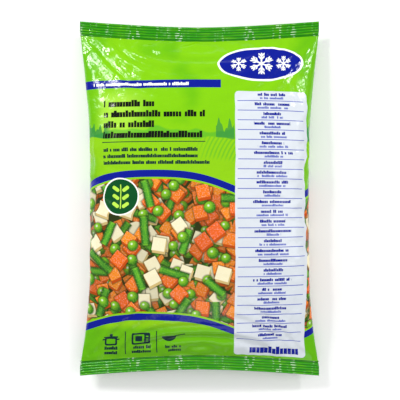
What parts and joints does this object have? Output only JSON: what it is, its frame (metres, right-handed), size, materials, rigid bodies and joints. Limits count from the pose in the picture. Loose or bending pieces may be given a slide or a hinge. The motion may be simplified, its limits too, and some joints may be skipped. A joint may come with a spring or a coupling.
{
  "type": "frozen vegetable bag",
  "caption": "Full sealed pillow bag of frozen mixed vegetables in printed film, crimped shut at both ends, lying on its back.",
  "frame": {"origin": "centre of the flat back, in the plane that the bag lies on", "axes": "+Z out of the front of the bag, +Y towards its top seal, X across it"},
  "size_m": [0.268, 0.397, 0.0697],
  "materials": {
    "film": "glossy printed film"
  },
  "bodies": {
    "root": {"bag": "film"}
  },
  "joints": []
}
